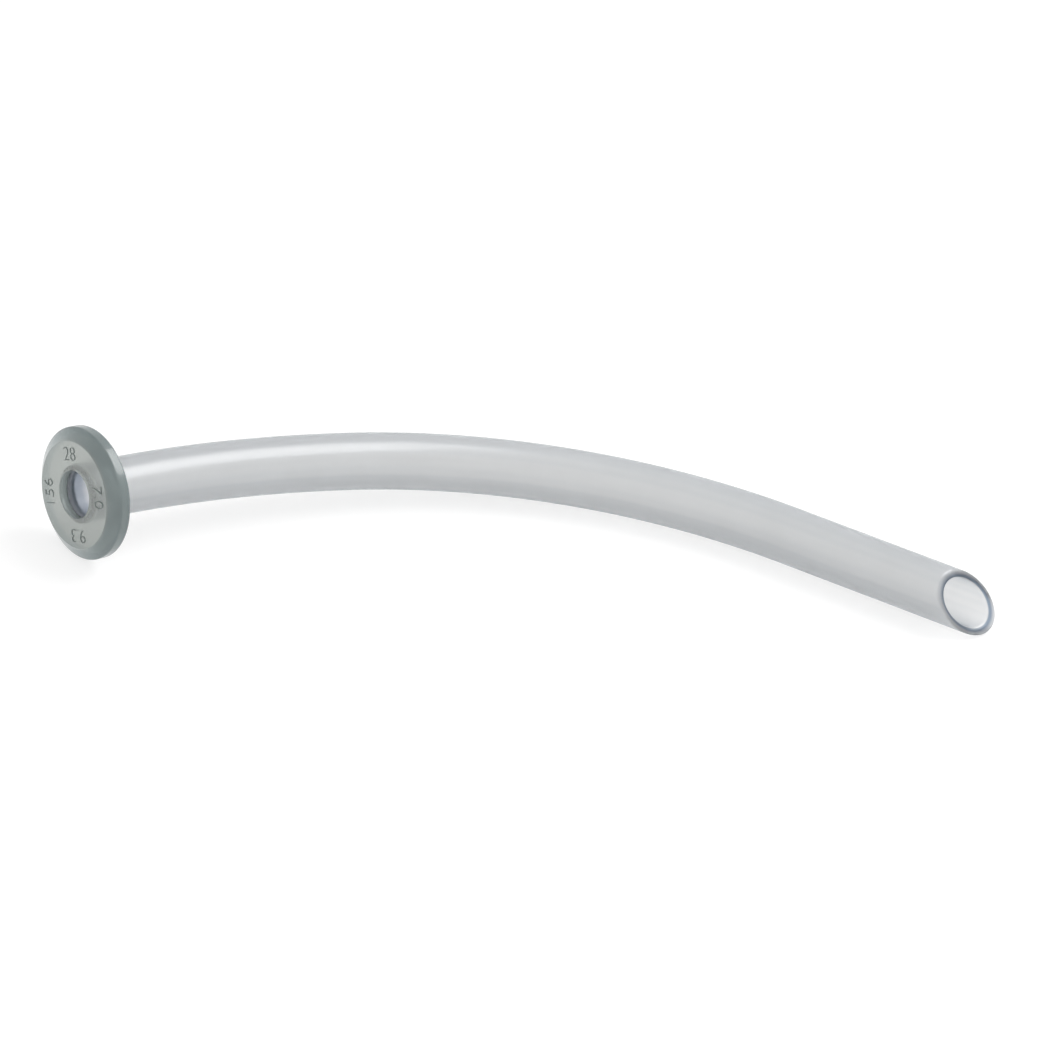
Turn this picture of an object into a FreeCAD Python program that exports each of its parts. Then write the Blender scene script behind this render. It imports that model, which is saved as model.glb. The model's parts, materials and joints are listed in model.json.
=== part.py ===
import FreeCAD, Part
import math
import os

from FreeCAD import Placement, Rotation, Vector

# Nasopharyngeal airway, size 28 French: a soft clear tube, heat-set to a gentle arch, with its outer end
# bonded into the socket of a moulded disc flange and its inner end cut on a slant and rounded.
# Lengths are in millimetres and angles in degrees.
# It is drawn with the flange's front face on the YZ plane, the tube leaving along +X and arching towards -Y.
# It is then laid down on its side as it comes to rest on a table, with +Z up.

# Tube
tube_outer_diameter = 9.3
tube_wall = 1.15
lead_length = 0.7            # straight, from the back of the flange to the first bend
lead_bend_radius = 147.0     # the gentle bend beside the flange, at the tube's centre line
lead_bend_angle = 18.0
main_bend_radius = 86.0      # the bend that follows the floor of the nose
main_bend_angle = 50.0
tip_length = 32.0            # straight, from the last bend to the middle of the slanted cut
tip_slant = 42.0             # the cut's angle from a square cut
tip_turn = 35.0              # the cut's long side, turned from the arch's underside to its outer curve
tip_outer_round = 0.35       # both edges of the cut are melted round, so that they don't scratch
tip_inner_round = 0.3

# Flange
rim_diameter = 21.4
front_wall = 1.5             # from the front face to the shoulder that the tube's end sits on
socket_depth = 1.8           # how far the tube goes into the back of the flange
bond_gap = 0.03              # all round the tube, for the solvent that welds it in
hole_step = 0.4              # how much wider than the tube's inside the hole in front is, all round
bevel_depth = 1.45           # the conical bevel round the front face, measured along the axis
bevel_width = 2.05           # and measured outwards
hole_chamfer = 0.3            # at the hole's front edge
socket_chamfer = 0.25         # leads the tube's end into the socket
back_edge_round = 0.45        # the edge that lies against the nostril

# Worked out from the sizes above
tube_outer_radius = tube_outer_diameter / 2
tube_inner_radius = tube_outer_radius - tube_wall
rim_radius = rim_diameter / 2
face_radius = rim_radius - bevel_width
hole_radius = tube_inner_radius + hole_step
socket_radius = tube_outer_radius + bond_gap
flange_thickness = front_wall + socket_depth
widest_tip_round = 0.45 * tube_wall

origin = Vector(0, 0, 0)
flange_axis = Vector(1, 0, 0)
side = Vector(0, 0, 1)       # square to the plane of the arch
rest_samples = 90            # rings taken along each run of the tube to find how it rests
rest_directions = 16         # leans tried round the best one so far


def heading(angle):
    """The tube's direction where it has bent by an angle."""
    return Vector(math.cos(math.radians(angle)), -math.sin(math.radians(angle)), 0)


def outward(angle):
    """The direction from the arch's inside to its outside, where the tube has bent by an angle."""
    return side.cross(heading(angle))


class Straight:
    """A straight run of the tube's centre line."""

    def __init__(self, start, angle, length):
        self.start = start
        self.end_angle = angle
        self.direction = heading(angle)
        self.length = length

    def at(self, share):
        """The point and the direction at a share of the run's length."""
        return self.start + self.direction * (self.length * share), self.direction

    def sweep(self, section):
        """The solid that a flat section at the run's start makes along it."""
        return section.extrude(self.direction * self.length)


class Bend:
    """A round bend of the tube's centre line, towards the arch's inside."""

    def __init__(self, start, angle, radius, turn):
        self.start_angle = angle
        self.end_angle = angle + turn
        self.radius = radius
        self.turn = turn
        self.middle = start - outward(angle) * radius

    def at(self, share):
        """The point and the direction at a share of the bend's length."""
        angle = self.start_angle + self.turn * share
        return self.middle + outward(angle) * self.radius, heading(angle)

    def sweep(self, section):
        """The solid that a flat section at the bend's start makes round it."""
        return section.revolve(self.middle, side * -1, self.turn)


def centre_line(spare=0.0):
    """The tube's runs, from its seated end to the middle of the slanted cut and on by a spare length."""
    lead = Straight(flange_axis * front_wall, 0.0, socket_depth + lead_length)
    lead_bend = Bend(lead.at(1)[0], lead.end_angle, lead_bend_radius, lead_bend_angle)
    main_bend = Bend(lead_bend.at(1)[0], lead_bend.end_angle, main_bend_radius, main_bend_angle)
    tip = Straight(main_bend.at(1)[0], main_bend.end_angle, tip_length + spare)
    return [lead, lead_bend, main_bend, tip]


def disc(radius, middle, direction):
    """A flat round face."""
    return Part.Face(Part.Wire(Part.makeCircle(radius, middle, direction)))


def pipe(spare):
    """The tube before its tip is cut, on past the cut by a spare length."""
    lengths = []
    for run in centre_line(spare):
        middle, direction = run.at(0)
        section = disc(tube_outer_radius, middle, direction).cut(disc(tube_inner_radius, middle, direction))
        lengths.append(run.sweep(section.Faces[0]))
    return lengths[0].fuse(lengths[1:]).removeSplitter().Solids[0]


def cut_plane():
    """The middle of the slanted cut, and its normal pointing out of the tube."""
    tip = centre_line()[-1]
    middle, direction = tip.at(1)
    turn = math.radians(tip_turn)
    long_side = outward(tip.end_angle) * math.sin(turn) - side * math.cos(turn)
    return middle, (direction - long_side * math.tan(math.radians(tip_slant))).normalize()


def cut_edges(tube):
    """The outer and the inner edges of the flat ring that the slanted cut leaves."""
    middle, normal = cut_plane()
    for face in tube.Faces:
        flat = isinstance(face.Surface, Part.Plane) and abs(face.Surface.Axis.dot(normal)) > 0.999
        if flat and abs((face.CenterOfMass - middle).dot(normal)) < tube_wall / 100:
            inner = [wire for wire in face.Wires if not wire.isSame(face.OuterWire)]
            return face.OuterWire.Edges, inner[0].Edges
    raise ValueError("the slanted cut left no flat ring")


def make_tube():
    """The tube: one wall along the arch, cut on the slant, with both edges of the cut rounded."""
    middle, normal = cut_plane()
    reach = tube_outer_radius * (1 + math.tan(math.radians(tip_slant)))
    waste = Part.makeCylinder(reach + tube_outer_radius, reach + tube_outer_radius, middle, normal)
    cut = pipe(reach).cut(waste).Solids[0]
    rounded = cut.makeFillet(min(tip_outer_round, widest_tip_round), cut_edges(cut)[0]).Solids[0]
    return rounded.makeFillet(min(tip_inner_round, widest_tip_round), cut_edges(rounded)[1]).Solids[0]


def rounded_outline(corners):
    """A closed wire through corners, each a place along the axis, a distance from it and a rounding."""
    points = [Vector(along, out, 0) for along, out, _ in corners]
    ends = []
    edges = []
    for number, (_, _, rounding) in enumerate(corners):
        corner = points[number]
        back = (points[number - 1] - corner).normalize()
        ahead = (points[(number + 1) % len(points)] - corner).normalize()
        half = back.getAngle(ahead) / 2
        start = corner + back * (rounding / math.tan(half))
        end = corner + ahead * (rounding / math.tan(half))
        if rounding > 0:
            top = corner + (back + ahead).normalize() * (rounding / math.sin(half) - rounding)
            edges.append(Part.Arc(start, top, end).toShape())
        ends.append((start, end))
    for number, (start, _) in enumerate(ends):
        edges.append(Part.LineSegment(ends[number - 1][1], start).toShape())
    return Part.Wire(Part.__sortEdges__(edges))


def make_flange():
    """The flange: a disc turned about the tube's axis, bevelled in front, with a stepped hole through it."""
    outline = rounded_outline([
        (0, hole_radius + hole_chamfer, 0),
        (0, face_radius, 0),
        (bevel_depth, rim_radius, 0),
        (flange_thickness, rim_radius, back_edge_round),
        (flange_thickness, socket_radius + socket_chamfer, 0),
        (flange_thickness - socket_chamfer, socket_radius, 0),
        (front_wall, socket_radius, 0),
        (front_wall, hole_radius, 0),
        (hole_chamfer, hole_radius, 0),
    ])
    return Part.Face(outline).revolve(origin, flange_axis, 360)


def outer_rings():
    """Rings that the part can rest on, each a middle, an axis, a radius and the rounding of its edge."""
    rim_back = flange_axis * (flange_thickness - back_edge_round)
    rings = [
        (flange_axis * bevel_depth, flange_axis, rim_radius, 0),
        (rim_back, flange_axis, rim_radius - back_edge_round, back_edge_round),
    ]
    shares = [step / rest_samples for step in range(rest_samples + 1)]
    return rings + [(*run.at(share), tube_outer_radius, 0) for run in centre_line() for share in shares]


def balance_height(up, rings, balance_point):
    """How high the balance point stands over the table when a direction is up."""
    depths = []
    for middle, axis, radius, rounding in rings:
        depths.append(radius * math.sqrt(1 - up.dot(axis) ** 2) + rounding - up.dot(middle))
    return max(depths) + up.dot(balance_point)


def resting_up(balance_point):
    """The direction that is up once the part, put down on its side, has rolled until it is steady."""
    rings = outer_rings()
    lean = (0.0, 0.0)
    lowest = balance_height(side, rings, balance_point)
    step = 0.1
    while step > 1e-5:
        steady = True
        for number in range(rest_directions):
            turn = 2 * math.pi * number / rest_directions
            tried = (lean[0] + step * math.cos(turn), lean[1] + step * math.sin(turn))
            height = balance_height(Vector(*tried, 1).normalize(), rings, balance_point)
            if height < lowest:
                lean, lowest, steady = tried, height, False
        if steady:
            step /= 2
    return Vector(*lean, 1).normalize()


def resting_place(pieces):
    """The placement that lays the pieces on the table, flange to the left, with the origin under their middle."""
    volume = sum(piece.Volume for piece in pieces)
    balance_point = origin
    for piece in pieces:
        balance_point = balance_point + piece.CenterOfMass * (piece.Volume / volume)
    up = resting_up(balance_point)
    turned = Placement(origin, Rotation(flange_axis, side.cross(flange_axis), up, "ZXY").inverted())
    box = Part.Compound([piece.transformed(turned.toMatrix()) for piece in pieces]).optimalBoundingBox(False)
    shift = Placement(Vector(-box.Center.x, -box.Center.y, -box.ZMin), Rotation())
    return shift.multiply(turned)


def make_pieces():
    """The finished pieces by name, and the placement that lays them down."""
    pieces = {"airway_tube": make_tube(), "flange": make_flange()}
    place = resting_place(list(pieces.values()))
    return {name: piece.transformed(place.toMatrix()) for name, piece in pieces.items()}, place


def main():
    """Writes each piece to a STEP file of its own."""
    os.makedirs("parts", exist_ok=True)
    pieces, _ = make_pieces()
    for name, piece in pieces.items():
        piece.exportStep(f"parts/{name}.step")
        print(f"{name}: valid {piece.isValid()}, volume {piece.Volume:.1f} mm3")


if __name__ == "__main__":
    main()
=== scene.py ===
"""Dresses the nasal airway for its picture: a clear soft tube in a clear flange, on a white table.

Plain size figures are raised on the flange's face. Lengths are in metres and angles in radians. The pieces
are shaped in the drawing's frame, where the flange's front face is the YZ plane, the tube leaves along +X and
the arch turns towards -Y. The frame's mounts then say where that drawing lies on the table.
"""

import json
import math

import bmesh
import bpy
from bpy.props import FloatProperty, FloatVectorProperty, IntProperty, PointerProperty, StringProperty
from mathutils import Matrix, Quaternion, Vector, noise


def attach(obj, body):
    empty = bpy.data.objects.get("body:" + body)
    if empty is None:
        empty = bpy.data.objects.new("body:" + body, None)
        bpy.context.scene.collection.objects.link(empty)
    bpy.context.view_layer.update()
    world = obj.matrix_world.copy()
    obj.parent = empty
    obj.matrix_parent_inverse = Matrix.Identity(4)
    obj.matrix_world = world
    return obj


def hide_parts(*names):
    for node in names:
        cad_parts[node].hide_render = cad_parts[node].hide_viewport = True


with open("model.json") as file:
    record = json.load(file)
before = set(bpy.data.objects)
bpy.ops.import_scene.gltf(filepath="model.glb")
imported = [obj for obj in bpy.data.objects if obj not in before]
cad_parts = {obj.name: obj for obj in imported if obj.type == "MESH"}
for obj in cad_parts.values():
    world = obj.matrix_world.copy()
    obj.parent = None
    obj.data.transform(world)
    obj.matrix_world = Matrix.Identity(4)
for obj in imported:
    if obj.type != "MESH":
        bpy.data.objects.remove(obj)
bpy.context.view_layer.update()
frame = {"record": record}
mounts = {mount["name"]: mount for mount in frame["record"]["mounts"]}

bl_info = {
    "name": "Nasal Airway",
    "version": (1, 0, 0),
    "blender": (4, 5, 0),
    "location": "View3D > Sidebar > Airway",
    "description": "Builds a clear nasal airway and the table that it is pictured on",
    "category": "Add Mesh",
}

BODY = "root"
MM = 0.001
ORIGIN = Vector((0, 0, 0))
TUBE_AXIS = Vector((1, 0, 0))
ARCH_SIDE = Vector((0, 0, 1))        # square to the plane of the arch
SAME_PLACE = MM / 1000               # corners nearer to each other than this are merged

# Steps of the meshes
LEAD_STEPS = 2
LEAD_BEND_STEPS = 24
MAIN_BEND_STEPS = 64
TIP_STEPS = 12
SHORT_SIDE = MM                      # what the cut leaves of the tip's last step, on its short side
CUT_ROUND_STEPS = 5
FLANGE_ROUND_STEPS = 6

# What the tube's mesh carries for its material
STREAK = "streak"
# SHADE carries painted shade: how much of the tube's colour turns dark inside its seated end and along the
# edges of the slanted cut
SHADE = "shade"
CUT_SHADE_DEPTH = 0.1 * MM           # how far from the cut's plane its shade goes

# Clear plastic
PLASTIC_IOR = 1.52
GLOSS_ROUGHNESS = 0.05
CLOUD_SCALE = 150.0
CLOUD_DETAIL = 3.0
CLOUD_ROUGHENING = 0.5               # a cloud's roughening, as a share of its darkening
EDGE_BLEND = 0.28
RIM_FADE_IN = 0.3 * MM               # how far inside the edge of the flange's face its rim's colour starts
RIM_FADE_OUT = 0.4 * MM              # and how far outside that edge it is full

# Stage
LAMP_LEVEL = 0.85                    # the light on the open table that is enough to show it white
FILM_WIDTH = 36                      # in millimetres
VIEW_START = 0.01
VIEW_END = 50


def mount_size(name, dimension):
    """A dimension of one of the frame's mounts, in metres."""
    return mounts[name]["dims"][dimension] * MM


class TubeSettings(bpy.types.PropertyGroup):
    """The airway's tube."""

    outer_diameter: FloatProperty(
        name="Outside", description="The tube's outside diameter",
        default=2 * mount_size("tip_shaft", "r_mm"), unit="LENGTH")
    inner_diameter: FloatProperty(
        name="Inside", description="The tube's inside diameter",
        default=2 * mount_size("lumen_outlet", "r_mm"), unit="LENGTH")
    lead_length: FloatProperty(
        name="Lead", description="Straight length from the flange to the first bend", default=0.7 * MM,
        unit="LENGTH")
    lead_bend_radius: FloatProperty(
        name="First bend", description="Radius of the gentle bend beside the flange",
        default=147 * MM, unit="LENGTH")
    lead_bend_angle: FloatProperty(
        name="First turn", description="How far the first bend turns",
        default=math.radians(18), subtype="ANGLE")
    main_bend_radius: FloatProperty(
        name="Second bend", description="Radius of the bend in the middle of the tube",
        default=86 * MM, unit="LENGTH")
    main_bend_angle: FloatProperty(
        name="Second turn", description="How far the second bend turns",
        default=math.radians(50), subtype="ANGLE")
    tip_length: FloatProperty(
        name="Tip", description="Straight length from the last bend to the middle of the slanted cut",
        default=32 * MM, unit="LENGTH")
    slant: FloatProperty(
        name="Slant", description="The cut's angle from a square cut",
        default=math.radians(42), subtype="ANGLE")
    slant_turn: FloatProperty(
        name="Slant turn", description="How far the cut's long side is turned towards the outer curve",
        default=math.radians(35), subtype="ANGLE")
    outer_round: FloatProperty(
        name="Outer rounding", description="Rounding of the cut's outer edge",
        default=0.35 * MM, unit="LENGTH")
    inner_round: FloatProperty(
        name="Inner rounding", description="Rounding of the cut's inner edge",
        default=0.5 * MM, unit="LENGTH")
    segments: IntProperty(name="Segments", description="Faces round the tube", default=96, min=24)
    colour: FloatVectorProperty(
        name="Colour", description="What the wall lets through",
        default=(0.866, 0.872, 0.874), subtype="COLOR")
    edge_colour: FloatVectorProperty(
        name="Edge colour", description="What the wall lets through where it is seen edge on",
        default=(0.38, 0.45, 0.52), subtype="COLOR")
    clearness: FloatProperty(
        name="Clearness", description="How much of the light goes through the tube unscattered",
        default=0.86, subtype="FACTOR")
    roughness: FloatProperty(
        name="Roughness", description="How matt the tube is", default=0.28, subtype="FACTOR")
    gloss: FloatProperty(
        name="Gloss", description="How much shine lies over the tube", default=0.2, subtype="FACTOR")
    cloudiness: FloatProperty(
        name="Cloudiness", description="How much clouds darken the tube", default=0.05, subtype="FACTOR")
    streak_count: FloatProperty(
        name="Streak count", description="How many streaks there are in a radian of the tube's girth",
        default=5.0)
    streaks: FloatProperty(
        name="Streaks", description="How much the faint streaks along the tube darken it", default=0.12,
        subtype="FACTOR")
    # Painted shade: the dark colour below, and how far and how strongly it is painted into the tube inside
    # its seated end, where the lumen lies in shade behind the flange, and along the edges of the slanted cut
    shade_colour: FloatVectorProperty(
        name="Shade colour", description="What the tube lets through at its bonded end and where it is cut",
        default=(0.12, 0.175, 0.27), subtype="COLOR")
    seat_reach: FloatProperty(
        name="Seat reach", description="How far from the flange's face the tube's bonded end looks dark",
        default=5.5 * MM, unit="LENGTH")
    seat_shade: FloatProperty(
        name="Seat shade", description="How dark the bonded end looks", default=0.65, subtype="FACTOR")
    cut_shade: FloatProperty(
        name="Cut shade", description="How dark the cut's outer edge looks", default=0.2, subtype="FACTOR")


class FlangeSettings(bpy.types.PropertyGroup):
    """The disc that stops the airway at the nostril."""

    rim_diameter: FloatProperty(
        name="Rim", description="Diameter of the rim", default=21.4 * MM, unit="LENGTH")
    front_wall: FloatProperty(
        name="Front wall", description="From the front face to the tube's seat",
        default=1.5 * MM, unit="LENGTH")
    socket_depth: FloatProperty(
        name="Socket", description="How far the tube goes in", default=1.8 * MM, unit="LENGTH")
    bond_gap: FloatProperty(
        name="Bond gap", description="Room round the tube in its socket", default=0.03 * MM, unit="LENGTH")
    hole_diameter: FloatProperty(
        name="Hole", description="Diameter of the hole in front",
        default=2 * mount_size("flange_hole", "r_mm"), unit="LENGTH")
    bevel_depth: FloatProperty(
        name="Bevel depth", description="The front bevel, along the axis", default=1.45 * MM, unit="LENGTH")
    bevel_width: FloatProperty(
        name="Bevel width", description="The front bevel, outwards", default=2.05 * MM, unit="LENGTH")
    face_round: FloatProperty(
        name="Face rounding", description="Rounding round the front face", default=0.25 * MM, unit="LENGTH")
    rim_round: FloatProperty(
        name="Rim rounding", description="Rounding between bevel and rim", default=0.3 * MM, unit="LENGTH")
    back_round: FloatProperty(
        name="Back rounding", description="Rounding of the rim's back edge", default=0.45 * MM, unit="LENGTH")
    hole_round: FloatProperty(
        name="Hole rounding", description="Rounding of the hole's front edge",
        default=0.15 * MM, unit="LENGTH")
    socket_round: FloatProperty(
        name="Socket rounding", description="Rounding of the socket's mouth", default=0.2 * MM, unit="LENGTH")
    segments: IntProperty(name="Segments", description="Faces round the flange", default=144, min=24)
    colour: FloatVectorProperty(
        name="Colour", description="What the flange's face lets through", default=(0.52, 0.555, 0.53),
        subtype="COLOR")
    # partly the thick rim's tint and partly painted shade of the darker bevel and rim
    edge_colour: FloatVectorProperty(
        name="Edge colour", description="What the flange lets through at its thick rim",
        default=(0.295, 0.365, 0.37), subtype="COLOR")
    clearness: FloatProperty(
        name="Clearness", description="How much of the light goes through the flange unscattered",
        default=0.66, subtype="FACTOR")
    roughness: FloatProperty(
        name="Roughness", description="How matt the flange is", default=0.2, subtype="FACTOR")
    gloss: FloatProperty(
        name="Gloss", description="How much shine lies over the flange", default=0.4, subtype="FACTOR")
    cloudiness: FloatProperty(
        name="Cloudiness", description="How much clouds darken the flange", default=0.16, subtype="FACTOR")


class FigureSettings(bpy.types.PropertyGroup):
    """The plain size figures raised on the flange's face."""

    figures: StringProperty(
        name="Figures", description="Sizes round the face: French, inside, outside and length",
        default="28 7.0 9.3 156")
    first_angle: FloatProperty(
        name="First angle", description="Where the first size stands, from the right",
        default=math.radians(112), subtype="ANGLE")
    ring_radius: FloatProperty(
        name="Ring", description="Radius of the ring that the figures stand on",
        default=6.45 * MM, unit="LENGTH")
    height: FloatProperty(
        name="Height", description="Font size of the figures", default=3.3 * MM, unit="LENGTH")
    relief: FloatProperty(
        name="Relief", description="How far the figures stand out", default=0.12 * MM, unit="LENGTH")
    thinning: FloatProperty(
        name="Thinning", description="How much thinner the strokes are than the font's", default=0.11 * MM,
        unit="LENGTH")
    # Painted shade: the figures are made dark all over, where raised clear strokes show only dark shading
    # along their edges
    colour: FloatVectorProperty(
        name="Colour", description="Colour of the figures", default=(0.28, 0.33, 0.32), subtype="COLOR")
    roughness: FloatProperty(
        name="Roughness", description="How matt the figures are", default=0.3, subtype="FACTOR")
    clearness: FloatProperty(
        name="Clearness", description="How much of the light goes through the figures unscattered",
        default=0.4, subtype="FACTOR")


class StageSettings(bpy.types.PropertyGroup):
    """The table, the lights and the camera."""

    table_size: FloatProperty(
        name="Table", description="Width of the white table", default=6.0, unit="LENGTH")
    table_colour: FloatVectorProperty(
        name="Table colour", description="Colour of the table", default=(0.9, 0.9, 0.9), subtype="COLOR")
    shadow_share: FloatProperty(
        name="Shadow", description="How much of the table's white comes from the lamps", default=0.3,
        subtype="FACTOR")
    sky_strength: FloatProperty(name="Sky", description="Strength of the even light all round", default=0.75)
    softbox_power: FloatProperty(
        name="Softbox", description="Power of the softbox overhead", default=4.6, unit="POWER")
    softbox_size: FloatProperty(
        name="Softbox size", description="Width of the softbox", default=0.58, unit="LENGTH")
    softbox_place: FloatVectorProperty(
        name="Softbox place", description="Where the softbox hangs",
        default=(0.46, -0.1, 0.65), subtype="XYZ", unit="LENGTH")
    azimuth: FloatProperty(
        name="Azimuth", description="The camera's turn round the part", default=math.radians(-42.603),
        subtype="ANGLE")
    elevation: FloatProperty(
        name="Elevation", description="The camera's height over the table", default=math.radians(31.342),
        subtype="ANGLE")
    roll: FloatProperty(
        name="Roll", description="How far the picture is turned",
        default=math.radians(-7.83), subtype="ANGLE")
    distance: FloatProperty(
        name="Distance", description="From the camera to the point it looks at",
        default=942.5 * MM, unit="LENGTH")
    aim: FloatVectorProperty(
        name="Aim", description="The point that the camera looks at",
        default=(-0.24 * MM, 0.26 * MM, 10.75 * MM), subtype="XYZ", unit="LENGTH")
    lens: FloatProperty(name="Lens", description="Focal length in millimetres", default=205.3)


def drawing_place():
    """The matrix that takes the drawing's frame to where the part lies on the table."""
    hole, outlet = mounts["flange_hole"], mounts["lumen_outlet"]
    settings = bpy.context.scene.airway_flange
    along = -Vector(hole["axis"]).normalized()
    side = Vector(outlet["axis"]).cross(along).normalized()
    across = side.cross(along)
    depth = settings.front_wall - mount_size("flange_hole", "length_mm") / 2
    front = Vector(hole["pos_m"]) - along * depth
    turned = Matrix((along, across, side)).transposed().to_4x4()
    return Matrix.Translation(front) @ turned


def heading(angle):
    """The tube's direction where it has bent by an angle, in the drawing."""
    return Vector((math.cos(angle), -math.sin(angle), 0))


def outward(angle):
    """The direction from the arch's inside to its outside, where the tube has bent by an angle."""
    return ARCH_SIDE.cross(heading(angle))


def finish_mesh(name, mesh_edit, material, node=None, smooth=True):
    """Makes the piece of a finished mesh edit, laid on the table, and rides it on the body."""
    bmesh.ops.transform(mesh_edit, matrix=drawing_place(), verts=mesh_edit.verts)
    bmesh.ops.remove_doubles(mesh_edit, verts=mesh_edit.verts, dist=SAME_PLACE)
    bmesh.ops.recalc_face_normals(mesh_edit, faces=mesh_edit.faces)
    for face in mesh_edit.faces:
        face.smooth = smooth
    mesh = bpy.data.meshes.new(name)
    mesh_edit.to_mesh(mesh)
    mesh_edit.free()
    mesh.materials.append(material)
    piece = bpy.data.objects.new(name, mesh)
    bpy.context.scene.collection.objects.link(piece)
    piece.modifiers.new("even_shading", "WEIGHTED_NORMAL")
    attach(piece, BODY)
    if node:
        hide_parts(node)


def calculated(nodes, links, operation, *values):
    """What a sum makes of values that are numbers or sockets."""
    node = nodes.new("ShaderNodeMath")
    node.operation = operation
    for socket, value in zip(node.inputs, values):
        if isinstance(value, bpy.types.NodeSocket):
            links.new(value, socket)
        else:
            socket.default_value = value
    return node.outputs["Value"]


def cloudiness_group():
    """The faint cloudiness of soft plastic, as a node group that clouds a colour and roughens a surface."""
    if "cloudiness" in bpy.data.node_groups:
        return bpy.data.node_groups["cloudiness"]
    group = bpy.data.node_groups.new("cloudiness", "ShaderNodeTree")
    sockets = (
        ("Colour", "INPUT", "NodeSocketColor"), ("Roughness", "INPUT", "NodeSocketFloat"),
        ("Scale", "INPUT", "NodeSocketFloat"), ("Amount", "INPUT", "NodeSocketFloat"),
        ("Colour", "OUTPUT", "NodeSocketColor"), ("Roughness", "OUTPUT", "NodeSocketFloat"))
    for name, side, kind in sockets:
        group.interface.new_socket(name=name, in_out=side, socket_type=kind)
    nodes, links = group.nodes, group.links
    given, made = nodes.new("NodeGroupInput"), nodes.new("NodeGroupOutput")
    place = nodes.new("ShaderNodeTexCoord")
    cloud = nodes.new("ShaderNodeTexNoise")
    cloud.inputs["Detail"].default_value = CLOUD_DETAIL
    links.new(place.outputs["Object"], cloud.inputs["Vector"])
    links.new(given.outputs["Scale"], cloud.inputs["Scale"])
    strength = calculated(nodes, links, "MULTIPLY", cloud.outputs["Fac"], given.outputs["Amount"])
    clouded = nodes.new("ShaderNodeVectorMath")
    clouded.operation = "SCALE"
    links.new(given.outputs["Colour"], clouded.inputs["Vector"])
    links.new(calculated(nodes, links, "SUBTRACT", 1.0, strength), clouded.inputs["Scale"])
    rougher = calculated(
        nodes, links, "MULTIPLY_ADD", strength, CLOUD_ROUGHENING, given.outputs["Roughness"])
    links.new(clouded.outputs["Vector"], made.inputs["Colour"])
    links.new(rougher, made.inputs["Roughness"])
    return group


def mixed(nodes, links, first, second, share):
    """A colour that goes from a first one, fixed or linked, to a second one by a share that is linked."""
    mix = nodes.new("ShaderNodeMix")
    mix.data_type = "RGBA"
    if isinstance(first, bpy.types.NodeSocket):
        links.new(first, mix.inputs["A"])
    else:
        mix.inputs["A"].default_value = (*first, 1)
    mix.inputs["B"].default_value = (*second, 1)
    links.new(share, mix.inputs["Factor"])
    return mix.outputs["Result"]


def painted(nodes, name):
    """A value that the mesh carries at its corners."""
    attribute = nodes.new("ShaderNodeAttribute")
    attribute.attribute_name = name
    return attribute.outputs["Fac"]


def tube_colour(nodes, links, settings):
    """Deeper where the wall is seen edge on, with faint streaks along it, and with painted shade inside the
    seated end and along the cut's edges.
    """
    edge = nodes.new("ShaderNodeLayerWeight")
    edge.inputs["Blend"].default_value = EDGE_BLEND
    streaks = painted(nodes, STREAK)
    deeper = calculated(nodes, links, "MULTIPLY_ADD", streaks, settings.streaks, edge.outputs["Facing"])
    deeper.node.use_clamp = True
    wall = mixed(nodes, links, settings.colour, settings.edge_colour, deeper)
    # painted shade, by the SHADE layer that shade_ends fills
    return mixed(nodes, links, wall, settings.shade_colour, painted(nodes, SHADE))


def flange_colour(nodes, links, settings):
    """Deeper from the edge of the face outwards, by the distance from the flange's axis: partly the thicker
    plastic's tint and partly painted shade, where the bevel and rim look darker through refraction.
    """
    front = drawing_place()
    place = nodes.new("ShaderNodeTexCoord")
    drawing = nodes.new("ShaderNodeMapping")
    drawing.vector_type = "TEXTURE"
    drawing.inputs["Location"].default_value = front.translation
    drawing.inputs["Rotation"].default_value = front.to_euler()
    links.new(place.outputs["Object"], drawing.inputs["Vector"])
    across = nodes.new("ShaderNodeVectorMath")
    across.operation = "MULTIPLY"
    across.inputs[1].default_value = (0, 1, 1)
    links.new(drawing.outputs["Vector"], across.inputs[0])
    radius = nodes.new("ShaderNodeVectorMath")
    radius.operation = "LENGTH"
    links.new(across.outputs["Vector"], radius.inputs[0])
    face_edge = settings.rim_diameter / 2 - settings.bevel_width
    rim = nodes.new("ShaderNodeMapRange")
    rim.interpolation_type = "SMOOTHSTEP"
    rim.inputs["From Min"].default_value = face_edge - RIM_FADE_IN
    rim.inputs["From Max"].default_value = face_edge + RIM_FADE_OUT
    links.new(radius.outputs["Value"], rim.inputs["Value"])
    # the rim's colour is partly tint and partly painted shade
    return mixed(nodes, links, settings.colour, settings.edge_colour, rim.outputs["Result"])


def clear_plastic(name, settings, colour):
    """Clear, slightly cloudy plastic, in a colour that a function of its nodes works out."""
    material = bpy.data.materials.new(name)
    material.use_nodes = True
    nodes, links = material.node_tree.nodes, material.node_tree.links
    shader = nodes["Principled BSDF"]
    shader.inputs["IOR"].default_value = PLASTIC_IOR
    shader.inputs["Transmission Weight"].default_value = settings.clearness
    shader.inputs["Coat Weight"].default_value = settings.gloss
    shader.inputs["Coat Roughness"].default_value = GLOSS_ROUGHNESS
    cloud = nodes.new("ShaderNodeGroup")
    cloud.node_tree = cloudiness_group()
    cloud.inputs["Roughness"].default_value = settings.roughness
    cloud.inputs["Scale"].default_value = CLOUD_SCALE
    cloud.inputs["Amount"].default_value = settings.cloudiness
    links.new(colour(nodes, links, settings), cloud.inputs["Colour"])
    links.new(cloud.outputs["Colour"], shader.inputs["Base Color"])
    links.new(cloud.outputs["Roughness"], shader.inputs["Roughness"])
    return material


def parts_of(items, kind):
    """The items of one kind among a mesh operator's results."""
    return [item for item in items if isinstance(item, kind)]


def without_repeats(items):
    """Items in their order, each of them once."""
    return list(dict.fromkeys(items))


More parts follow.
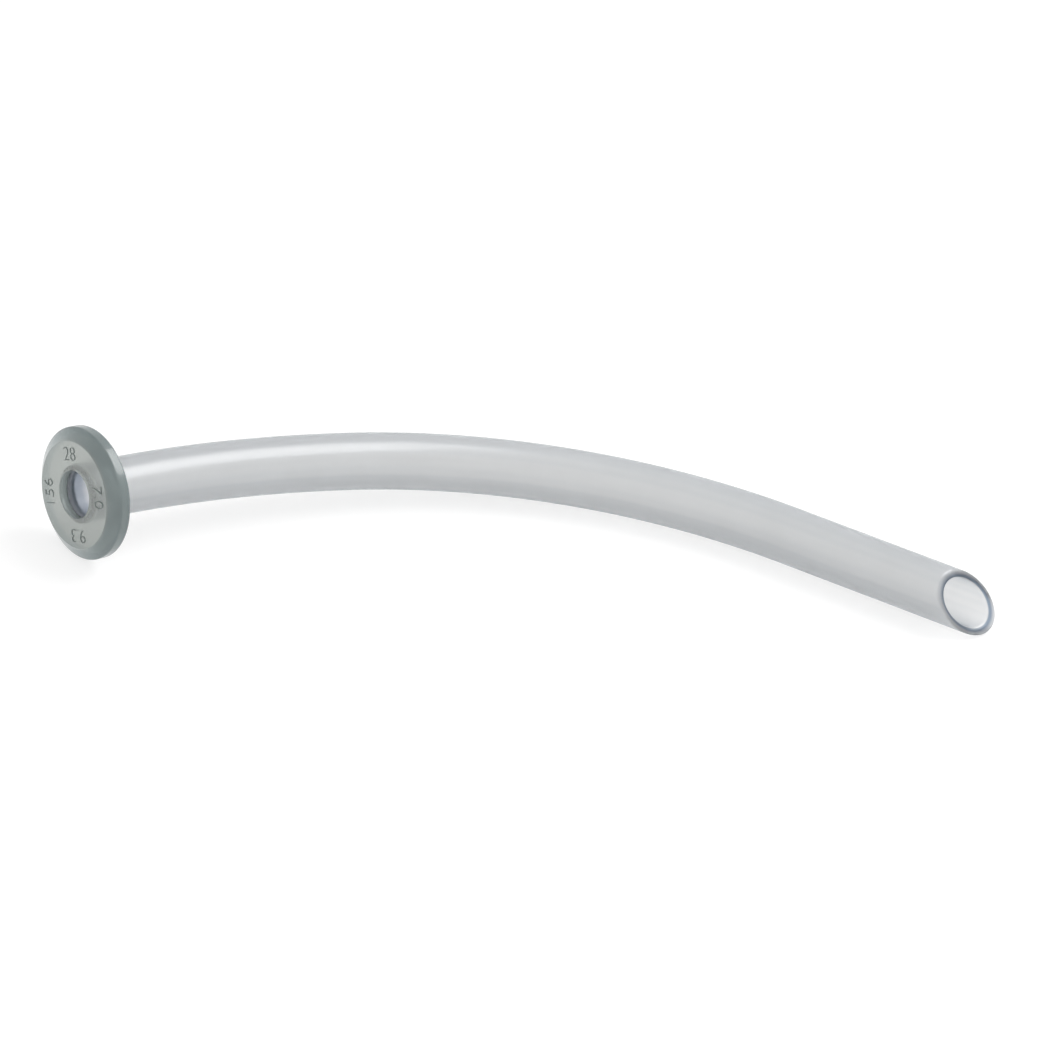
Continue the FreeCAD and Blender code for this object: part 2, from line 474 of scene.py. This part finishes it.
def with_edges(faces):
    """Faces together with their edges and corners."""
    edges = without_repeats(edge for face in faces for edge in face.edges)
    verts = without_repeats(vert for face in faces for vert in face.verts)
    return [*faces, *edges, *verts]


def border(faces):
    """The edges round a region of faces."""
    edges = without_repeats(edge for face in faces for edge in face.edges)
    return [edge for edge in edges if not all(face in faces for face in edge.link_faces)]


def extrude_on(mesh_edit, faces, offset, steps=1):
    """Extrudes faces by an offset in equal steps, and returns the faces at the new end."""
    for _ in range(steps):
        made = bmesh.ops.extrude_face_region(mesh_edit, geom=with_edges(faces))["geom"]
        faces = parts_of(made, bmesh.types.BMFace)
        bmesh.ops.translate(mesh_edit, verts=parts_of(made, bmesh.types.BMVert), vec=offset / steps)
    return faces


def spin_on(mesh_edit, faces, middle, angle, steps):
    """Sweeps faces round a bend, and returns the faces at the new end."""
    made = bmesh.ops.spin(
        mesh_edit, geom=with_edges(faces), cent=middle, axis=-ARCH_SIDE, dvec=ORIGIN, angle=angle,
        steps=steps, use_merge=False, use_normal_flip=False, use_duplicate=False)["geom_last"]
    return parts_of(made, bmesh.types.BMFace)


def seated_ring(mesh_edit, settings, front_wall):
    """The flat ring of the tube's seated end, with the streaks that run on from it."""
    outer, inner = settings.outer_diameter / 2, settings.inner_diameter / 2
    seat = Matrix.Translation(TUBE_AXIS * front_wall) @ Matrix.Rotation(math.pi / 2, 4, "Y")
    bmesh.ops.create_circle(
        mesh_edit, segments=settings.segments, radius=outer, cap_ends=True, matrix=seat)
    disc = list(mesh_edit.faces)
    ring = bmesh.ops.inset_individual(
        mesh_edit, faces=disc, thickness=outer - inner, use_even_offset=True)["faces"]
    bmesh.ops.delete(mesh_edit, geom=disc, context="FACES_ONLY")
    streak = mesh_edit.verts.layers.float[STREAK]
    for vert in mesh_edit.verts:
        turn = math.atan2(vert.co.z, vert.co.y) * settings.streak_count
        vert[streak] = noise.noise(Vector((turn, 0, 0)))
    return ring


class SlantedCut:
    """The slanted cut at the tube's tip, in the drawing."""

    def __init__(self, settings, middle, turned):
        self.middle = middle
        self.tip = heading(turned)
        self.slope = math.tan(settings.slant)
        turn = settings.slant_turn
        self.long_side = outward(turned) * math.sin(turn) - ARCH_SIDE * math.cos(turn)
        self.normal = (self.tip - self.long_side * self.slope).normalized()
        self.wall_radius = (settings.outer_diameter + settings.inner_diameter) / 4

    def slanting(self):
        """The matrix that leans the tip's square end onto the cut."""
        lean = Matrix([[along * across * self.slope for across in self.long_side] for along in self.tip])
        leaned = (Matrix.Identity(3) + lean).to_4x4()
        return Matrix.Translation(self.middle) @ leaned @ Matrix.Translation(-self.middle)

    def is_inside(self, point):
        """Whether a point is nearer to the tube's inside than to its outside."""
        offset = point - self.middle
        return (offset - self.tip * offset.dot(self.tip)).length < self.wall_radius

    def distance(self, point):
        """How far a point is from the cut's plane."""
        return abs((point - self.middle).dot(self.normal))


def round_cut(mesh_edit, ring, cut, settings):
    """Rounds the outer and the inner edge of the ring that the cut leaves."""
    edges = border(ring)
    inner_edges = [edge for edge in edges if cut.is_inside(edge.verts[0].co)]
    outer_edges = [edge for edge in edges if not cut.is_inside(edge.verts[0].co)]
    for loop, rounding in ((outer_edges, settings.outer_round), (inner_edges, settings.inner_round)):
        bmesh.ops.bevel(
            mesh_edit, geom=loop, offset=rounding, affect="EDGES", segments=CUT_ROUND_STEPS, profile=0.5,
            material=-1)


def shade_ends(mesh_edit, cut, settings):
    """Paints shade into the tube's colour inside its seated end and along the edges of the cut."""
    shade = mesh_edit.verts.layers.float[SHADE]
    for vert in mesh_edit.verts:
        near_cut = (vert.co - cut.middle).length < settings.outer_diameter
        # painted shade inside the seated end, where the lumen lies in shade behind the flange
        if vert.co.x < settings.seat_reach:
            vert[shade] = settings.seat_shade
        # painted shade along the cut's edges, full at the inner edge
        elif near_cut and cut.distance(vert.co) < CUT_SHADE_DEPTH:
            vert[shade] = 1.0 if cut.is_inside(vert.co) else settings.cut_shade


class AIRWAY_OT_tube(bpy.types.Operator):
    """Builds the clear tube: swept along its bends, cut on the slant and rounded at the tip"""

    bl_idname = "airway.tube"
    bl_label = "Tube"

    def execute(self, context):
        settings = context.scene.airway_tube
        flange = context.scene.airway_flange
        mesh_edit = bmesh.new()
        for name in (STREAK, SHADE):
            mesh_edit.verts.layers.float.new(name)
        wall = seated_ring(mesh_edit, settings, flange.front_wall)
        lead = TUBE_AXIS * (flange.socket_depth + settings.lead_length)
        wall = extrude_on(mesh_edit, wall, lead, LEAD_STEPS)
        place = TUBE_AXIS * flange.front_wall + lead
        turned = 0.0
        bends = (
            (settings.lead_bend_radius, settings.lead_bend_angle, LEAD_BEND_STEPS),
            (settings.main_bend_radius, settings.main_bend_angle, MAIN_BEND_STEPS),
        )
        for radius, angle, steps in bends:
            middle = place - outward(turned) * radius
            wall = spin_on(mesh_edit, wall, middle, angle, steps)
            turned += angle
            place = middle + outward(turned) * radius
        tip = heading(turned)
        cut = SlantedCut(settings, place + tip * settings.tip_length, turned)
        last_step = settings.outer_diameter / 2 * cut.slope + SHORT_SIDE
        wall = extrude_on(mesh_edit, wall, tip * (settings.tip_length - last_step), TIP_STEPS)
        wall = extrude_on(mesh_edit, wall, tip * last_step)
        end = without_repeats(vert for face in wall for vert in face.verts)
        bmesh.ops.transform(mesh_edit, matrix=cut.slanting(), verts=end)
        round_cut(mesh_edit, wall, cut, settings)
        shade_ends(mesh_edit, cut, settings)
        plastic = clear_plastic("clear_tube", settings, tube_colour)
        finish_mesh("clear_tube", mesh_edit, plastic, "airway_tube")
        return {"FINISHED"}


class AIRWAY_OT_flange(bpy.types.Operator):
    """Builds the clear flange: its rounded outline spun round the tube's axis"""

    bl_idname = "airway.flange"
    bl_label = "Flange"

    def execute(self, context):
        settings = context.scene.airway_flange
        tube = context.scene.airway_tube
        rim, hole = settings.rim_diameter / 2, settings.hole_diameter / 2
        socket = tube.outer_diameter / 2 + settings.bond_gap
        thickness = settings.front_wall + settings.socket_depth
        corners = (
            (0, hole, settings.hole_round),
            (0, rim - settings.bevel_width, settings.face_round),
            (settings.bevel_depth, rim, settings.rim_round),
            (thickness, rim, settings.back_round),
            (thickness, socket, settings.socket_round),
            (settings.front_wall, socket, 0),
            (settings.front_wall, hole, 0),
        )
        mesh_edit = bmesh.new()
        verts = [mesh_edit.verts.new((along, out, 0)) for along, out, _ in corners]
        for number, vert in enumerate(verts):
            mesh_edit.edges.new((verts[number - 1], vert))
        for vert, (_, _, rounding) in zip(verts, corners):
            if rounding:
                sides = [edge.other_vert(vert).co - vert.co for edge in vert.link_edges]
                reach = rounding / math.tan(sides[0].angle(sides[1]) / 2)
                bmesh.ops.bevel(
                    mesh_edit, geom=[vert], offset=reach, affect="VERTICES", segments=FLANGE_ROUND_STEPS,
                    profile=0.5, material=-1)
        bmesh.ops.spin(
            mesh_edit, geom=list(mesh_edit.verts) + list(mesh_edit.edges), cent=ORIGIN, axis=TUBE_AXIS,
            dvec=ORIGIN, angle=2 * math.pi, steps=settings.segments, use_merge=True, use_normal_flip=False,
            use_duplicate=False)
        plastic = clear_plastic("clear_flange", settings, flange_colour)
        finish_mesh("clear_flange", mesh_edit, plastic, "flange")
        return {"FINISHED"}


class AIRWAY_OT_figures(bpy.types.Operator):
    """Raises the plain size figures on the flange's face"""

    bl_idname = "airway.figures"
    bl_label = "Figures"

    def execute(self, context):
        settings = context.scene.airway_figures
        figures = settings.figures.split()
        mesh_edit = bmesh.new()
        for number, body in enumerate(figures):
            text = bpy.data.curves.new("figure", "FONT")
            text.body = body
            text.size = settings.height
            text.extrude = settings.relief
            text.offset = -settings.thinning
            text.align_x = "CENTER"
            text.align_y = "CENTER"
            holder = bpy.data.objects.new("figure", text)
            mesh = bpy.data.meshes.new_from_object(holder)
            angle = settings.first_angle - 2 * math.pi * number / len(figures)
            up = Vector((0, -math.cos(angle), math.sin(angle)))
            rightwards = up.cross(-TUBE_AXIS)
            turned = Matrix((rightwards, up, -TUBE_AXIS)).transposed().to_4x4()
            mesh.transform(Matrix.Translation(up * settings.ring_radius) @ turned)
            mesh_edit.from_mesh(mesh)
            bpy.data.objects.remove(holder)
            bpy.data.curves.remove(text)
            bpy.data.meshes.remove(mesh)
        material = bpy.data.materials.new("raised_figures")
        material.use_nodes = True
        shader = material.node_tree.nodes["Principled BSDF"]
        # the dark colour is painted shade of the raised strokes' edges
        shader.inputs["Base Color"].default_value = (*settings.colour, 1)
        shader.inputs["Roughness"].default_value = settings.roughness
        shader.inputs["Transmission Weight"].default_value = settings.clearness
        finish_mesh("raised_figures", mesh_edit, material, smooth=False)
        return {"FINISHED"}


def seen_directly(nodes, links):
    """A mask of the rays that look straight at a surface, or by way of gloss or clear plastic."""
    path = nodes.new("ShaderNodeLightPath")
    seen = path.outputs["Is Camera Ray"]
    for ray in ("Is Glossy Ray", "Is Transmission Ray"):
        seen = calculated(nodes, links, "MAXIMUM", seen, path.outputs[ray])
    return seen


def table_material(settings):
    """White to the eye, with the part's shadow, and a pale table to the light that it throws back."""
    material = bpy.data.materials.new("white_table")
    material.use_nodes = True
    nodes, links = material.node_tree.nodes, material.node_tree.links
    nodes.clear()
    output = nodes.new("ShaderNodeOutputMaterial")
    pale = nodes.new("ShaderNodeBsdfDiffuse")
    pale.inputs["Color"].default_value = (*settings.table_colour, 1)
    shadowed = nodes.new("ShaderNodeBsdfDiffuse")
    shadowed.inputs["Color"].default_value = (settings.shadow_share,) * 3 + (1,)
    glow = nodes.new("ShaderNodeEmission")
    glow.inputs["Strength"].default_value = 1 - settings.shadow_share * LAMP_LEVEL
    white = nodes.new("ShaderNodeAddShader")
    chosen = nodes.new("ShaderNodeMixShader")
    links.new(shadowed.outputs["BSDF"], white.inputs[0])
    links.new(glow.outputs["Emission"], white.inputs[1])
    links.new(seen_directly(nodes, links), chosen.inputs["Fac"])
    links.new(pale.outputs["BSDF"], chosen.inputs[1])
    links.new(white.outputs["Shader"], chosen.inputs[2])
    links.new(chosen.outputs["Shader"], output.inputs["Surface"])
    return material


def light_sky(settings):
    """An even pale light all round, white where it is seen."""
    world = bpy.data.worlds.new("pale_sky")
    bpy.context.scene.world = world
    world.use_nodes = True
    nodes, links = world.node_tree.nodes, world.node_tree.links
    nodes.clear()
    output = nodes.new("ShaderNodeOutputWorld")
    chosen = nodes.new("ShaderNodeMixShader")
    links.new(seen_directly(nodes, links), chosen.inputs["Fac"])
    for socket, strength in ((chosen.inputs[1], settings.sky_strength), (chosen.inputs[2], 1.0)):
        sky = nodes.new("ShaderNodeBackground")
        sky.inputs["Color"].default_value = (1, 1, 1, 1)
        sky.inputs["Strength"].default_value = strength
        links.new(sky.outputs["Background"], socket)
    links.new(chosen.outputs["Shader"], output.inputs["Surface"])


def place_camera(settings):
    """The camera, turned round the part to where the picture is taken from."""
    camera = bpy.data.objects.new("camera", bpy.data.cameras.new("camera"))
    bpy.context.scene.collection.objects.link(camera)
    level = math.cos(settings.elevation)
    back = Vector((
        math.sin(settings.azimuth) * level,
        -math.cos(settings.azimuth) * level,
        math.sin(settings.elevation),
    ))
    upright = (-back).to_track_quat("-Z", "Y")
    camera.rotation_mode = "QUATERNION"
    camera.rotation_quaternion = Quaternion(-back, settings.roll) @ upright
    camera.location = Vector(settings.aim) + back * settings.distance
    camera.data.lens = settings.lens
    camera.data.sensor_width = FILM_WIDTH
    camera.data.clip_start = VIEW_START
    camera.data.clip_end = VIEW_END
    bpy.context.scene.camera = camera


class AIRWAY_OT_stage(bpy.types.Operator):
    """Sets the white table, the lights and the camera"""

    bl_idname = "airway.stage"
    bl_label = "Stage"

    def execute(self, context):
        settings = context.scene.airway_stage
        mesh_edit = bmesh.new()
        bmesh.ops.create_grid(mesh_edit, x_segments=1, y_segments=1, size=settings.table_size / 2)
        mesh = bpy.data.meshes.new("table")
        mesh_edit.to_mesh(mesh)
        mesh_edit.free()
        mesh.materials.append(table_material(settings))
        table = bpy.data.objects.new("table", mesh)
        context.scene.collection.objects.link(table)
        light_sky(settings)
        softbox = bpy.data.lights.new("softbox", "AREA")
        softbox.shape = "SQUARE"
        softbox.size = settings.softbox_size
        softbox.energy = settings.softbox_power
        hung = bpy.data.objects.new("softbox", softbox)
        hung.location = settings.softbox_place
        hung.rotation_mode = "QUATERNION"
        hung.rotation_quaternion = (-Vector(settings.softbox_place)).to_track_quat("-Z", "Y")
        context.scene.collection.objects.link(hung)
        place_camera(settings)
        context.scene.view_settings.view_transform = "Standard"
        return {"FINISHED"}


class AIRWAY_PT_panel(bpy.types.Panel):
    """The airway's pieces and their sizes"""

    bl_label = "Airway"
    bl_idname = "AIRWAY_PT_panel"
    bl_space_type = "VIEW_3D"
    bl_region_type = "UI"
    bl_category = "Airway"

    def draw(self, context):
        groups = (
            (context.scene.airway_tube, AIRWAY_OT_tube),
            (context.scene.airway_flange, AIRWAY_OT_flange),
            (context.scene.airway_figures, AIRWAY_OT_figures),
            (context.scene.airway_stage, AIRWAY_OT_stage),
        )
        for settings, operator in groups:
            box = self.layout.box()
            box.operator(operator.bl_idname)
            for name in settings.__annotations__:
                box.prop(settings, name)


SETTINGS = {
    "airway_tube": TubeSettings,
    "airway_flange": FlangeSettings,
    "airway_figures": FigureSettings,
    "airway_stage": StageSettings,
}
CLASSES = (
    *SETTINGS.values(), AIRWAY_OT_tube, AIRWAY_OT_flange, AIRWAY_OT_figures, AIRWAY_OT_stage, AIRWAY_PT_panel)


def register():
    for item in CLASSES:
        bpy.utils.register_class(item)
    for name, group in SETTINGS.items():
        setattr(bpy.types.Scene, name, PointerProperty(type=group))


def unregister():
    for name in SETTINGS:
        delattr(bpy.types.Scene, name)
    for item in reversed(CLASSES):
        bpy.utils.unregister_class(item)


def main():
    """Builds every piece and the stage."""
    register()
    bpy.ops.airway.tube()
    bpy.ops.airway.flange()
    bpy.ops.airway.figures()
    bpy.ops.airway.stage()


if __name__ == "__main__":
    main()
